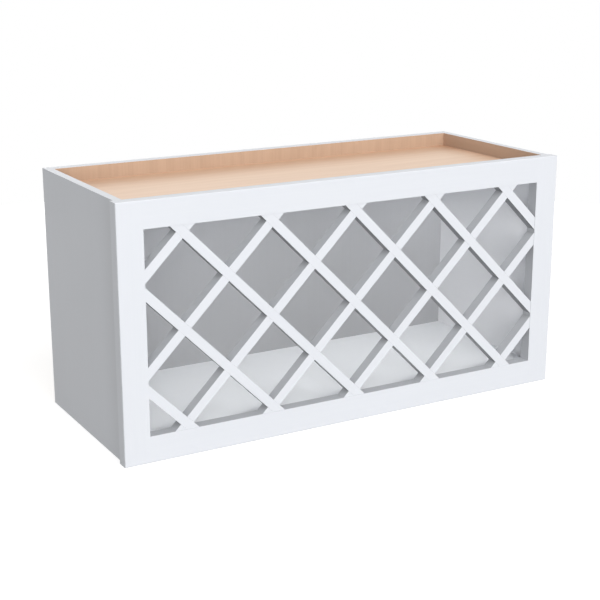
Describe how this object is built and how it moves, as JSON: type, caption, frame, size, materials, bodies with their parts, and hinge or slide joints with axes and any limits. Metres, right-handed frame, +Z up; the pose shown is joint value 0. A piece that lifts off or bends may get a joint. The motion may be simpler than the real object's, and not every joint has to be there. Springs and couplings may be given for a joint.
{
  "type": "wall wine rack cabinet",
  "caption": "Painted face-frame wall cabinet whose open front is a fixed diagonal lattice, so that wine bottles lie through its square cells; recessed top, flat sides, hanging rails behind.",
  "frame": {"origin": "under the middle of the cabinet in width and depth, at the height of its bottom edges", "axes": "+X to the right seen from the front, +Y from the face frame back to the wall, +Z up"},
  "size_m": [0.762, 0.3048, 0.381],
  "materials": {
    "white_paint": "satin white paint on hardwood and plywood",
    "maple_veneer": "clear-coated pale maple veneer, painted white where it faces the bottle space",
    "plywood": "bare hardwood plywood",
    "beech": "bare turned beech",
    "zinc_steel": "zinc-plated"
  },
  "bodies": {
    "root": {"left_side_panel": "white_paint", "right_side_panel": "white_paint", "top_panel": "maple_veneer", "bottom_panel": "white_paint", "back_panel": "maple_veneer", "upper_hanging_rail": "plywood", "lower_hanging_rail": "plywood", "hanging_rail_screws": "zinc_steel", "left_stile": "white_paint", "right_stile": "white_paint", "top_rail": "white_paint", "bottom_rail": "white_paint", "frame_dowels": "beech", "rising_strip_1": "white_paint", "rising_strip_2": "white_paint", "rising_strip_3": "white_paint", "rising_strip_4": "white_paint", "rising_strip_5": "white_paint", "rising_strip_6": "white_paint", "rising_strip_7": "white_paint", "falling_strip_1": "white_paint", "falling_strip_2": "white_paint", "falling_strip_3": "white_paint", "falling_strip_4": "white_paint", "falling_strip_5": "white_paint", "falling_strip_6": "white_paint", "falling_strip_7": "white_paint"}
  },
  "joints": []
}
